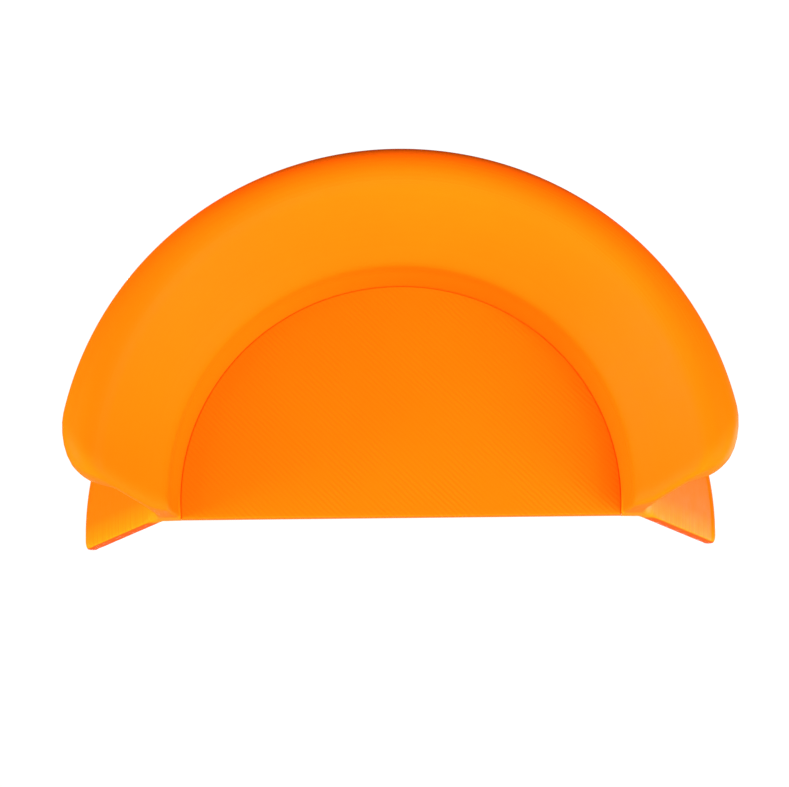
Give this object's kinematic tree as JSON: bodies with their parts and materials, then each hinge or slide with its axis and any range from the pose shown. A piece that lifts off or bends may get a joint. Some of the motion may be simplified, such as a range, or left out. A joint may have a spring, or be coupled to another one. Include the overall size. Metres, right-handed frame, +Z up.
{
  "type": "bridle rack",
  "caption": "Half-round wall rack with a deep groove between a flared front lip and a wall flange; it holds a bridle's headpiece and lifts off a hidden dovetail block.",
  "frame": {"origin": "on the wall, midway between the two wall screws", "axes": "+Z up, +Y into the wall, +X to the right as seen from the front"},
  "size_m": [0.1514, 0.091, 0.0805],
  "materials": {
    "shell_plastic": "satin printed plastic",
    "face_plastic": "satin printed plastic with diagonal top lines",
    "block_plastic": "satin printed plastic",
    "screw_steel": "zinc plated"
  },
  "bodies": {
    "wall_mount": {"wall_bracket": "block_plastic", "wall_screws": "screw_steel"},
    "rack": {"saddle_shell": "shell_plastic", "face_panel": "face_plastic"}
  },
  "joints": [
    {"name": "rack_lift", "type": "slide", "parent": "wall_mount", "child": "rack", "axis": [0, 0, 1], "range_m": [0, 0.037]}
  ]
}
